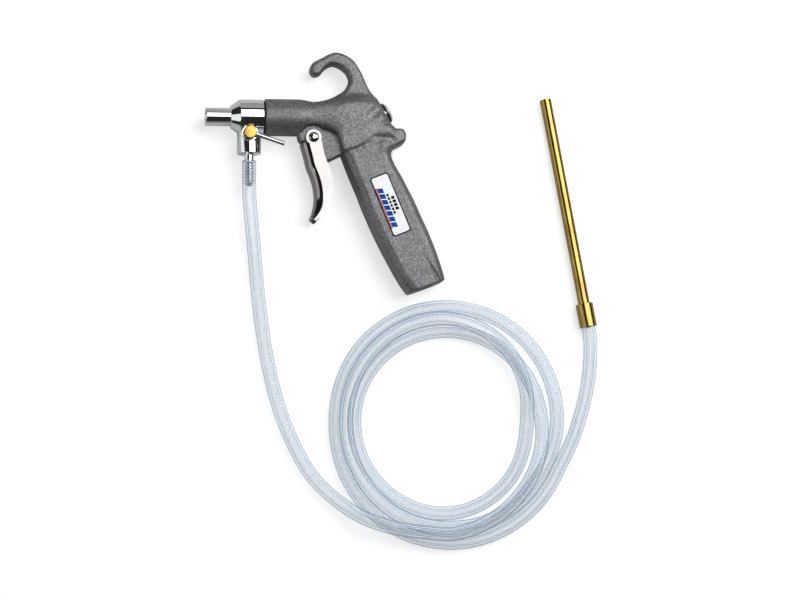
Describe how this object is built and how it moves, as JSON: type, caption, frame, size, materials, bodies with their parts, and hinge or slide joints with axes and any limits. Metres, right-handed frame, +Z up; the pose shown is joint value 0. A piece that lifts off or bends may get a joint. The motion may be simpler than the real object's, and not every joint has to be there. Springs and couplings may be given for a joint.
{
  "type": "siphon spray gun",
  "caption": "Siphon spray gun: cast air-gun body with a trigger and hanging hook, chrome siphon head with a petcock, coiled clear pickup hose and brass pickup tube.",
  "frame": {"origin": "on the surface the gun lies on, under the middle of the gun's own box, hose and pickup tube left out", "axes": "+Z up, square to the gun's mid-plane; the barrel points along -X and the hook along +Y; the grip runs towards -Y"},
  "size_m": [0.268, 0.335, 0.0252],
  "materials": {
    "cast_aluminium": "blasted die-cast aluminium with a fine bright grain",
    "nickel_plate": "bright nickel-plated pressed steel, lightly brushed",
    "chrome_plate": "mirror-bright chrome plate over brass",
    "yellow_brass": "turned yellow brass, polished",
    "aged_brass": "drawn brass, toned brown-gold, with a bright line along it",
    "steel": "plain turned steel",
    "black_rubber": "black nitrile rubber",
    "white_nylon": "off-white nylon packing",
    "clear_pvc": "clear flexible PVC with a faint blue tint",
    "white_label": "white vinyl label with a thin black border and plain blocks of colour"
  },
  "bodies": {
    "gun": {"gun_body": "cast_aluminium", "valve_cap": "nickel_plate", "cap_gasket": "black_rubber", "valve_spring": "steel", "stem_packing": "white_nylon", "packing_gland": "yellow_brass", "trigger_pin": "steel", "pin_retainer": "steel", "siphon_head": "chrome_plate", "head_gasket": "black_rubber", "nozzle_tube": "chrome_plate", "air_jet": "yellow_brass", "hose_barb": "chrome_plate", "label": "white_label", "hose_lead_in": "clear_pvc", "hose_coil": "clear_pvc", "hose_lead_out": "clear_pvc", "ferrule": "aged_brass", "pickup_tube": "aged_brass", "hose_insert": "yellow_brass"},
    "trigger": {"trigger": "nickel_plate"},
    "valve": {"valve_poppet": "yellow_brass", "seat_washer": "black_rubber", "valve_stem": "steel"},
    "petcock": {"metering_plug": "yellow_brass", "plug_handle": "steel", "plug_washer": "steel", "plug_nut": "steel"}
  },
  "joints": [
    {"name": "trigger_pull", "type": "hinge", "parent": "gun", "child": "trigger", "pos_m": [-0.00775, 0.0229, 0.0126], "axis": [0, 0, 1], "range_deg": [0, 14], "stiffness_Nm_per_rad": 1, "springref_deg": -22.92},
    {"name": "valve_travel", "type": "slide", "parent": "gun", "child": "valve", "axis": [0.866, 0.5, 0], "range_m": [0, 0.0027], "deforming": ["valve_spring"]},
    {"name": "petcock_turn", "type": "hinge", "parent": "gun", "child": "petcock", "pos_m": [-0.0508, 0.0253, 0.0126], "axis": [0, 0, 1], "range_deg": [-71.6, 18.4]}
  ],
  "couplings": [
    {"joint": "valve_travel", "follows": "trigger_pull", "m_per_rad": 0.011}
  ]
}
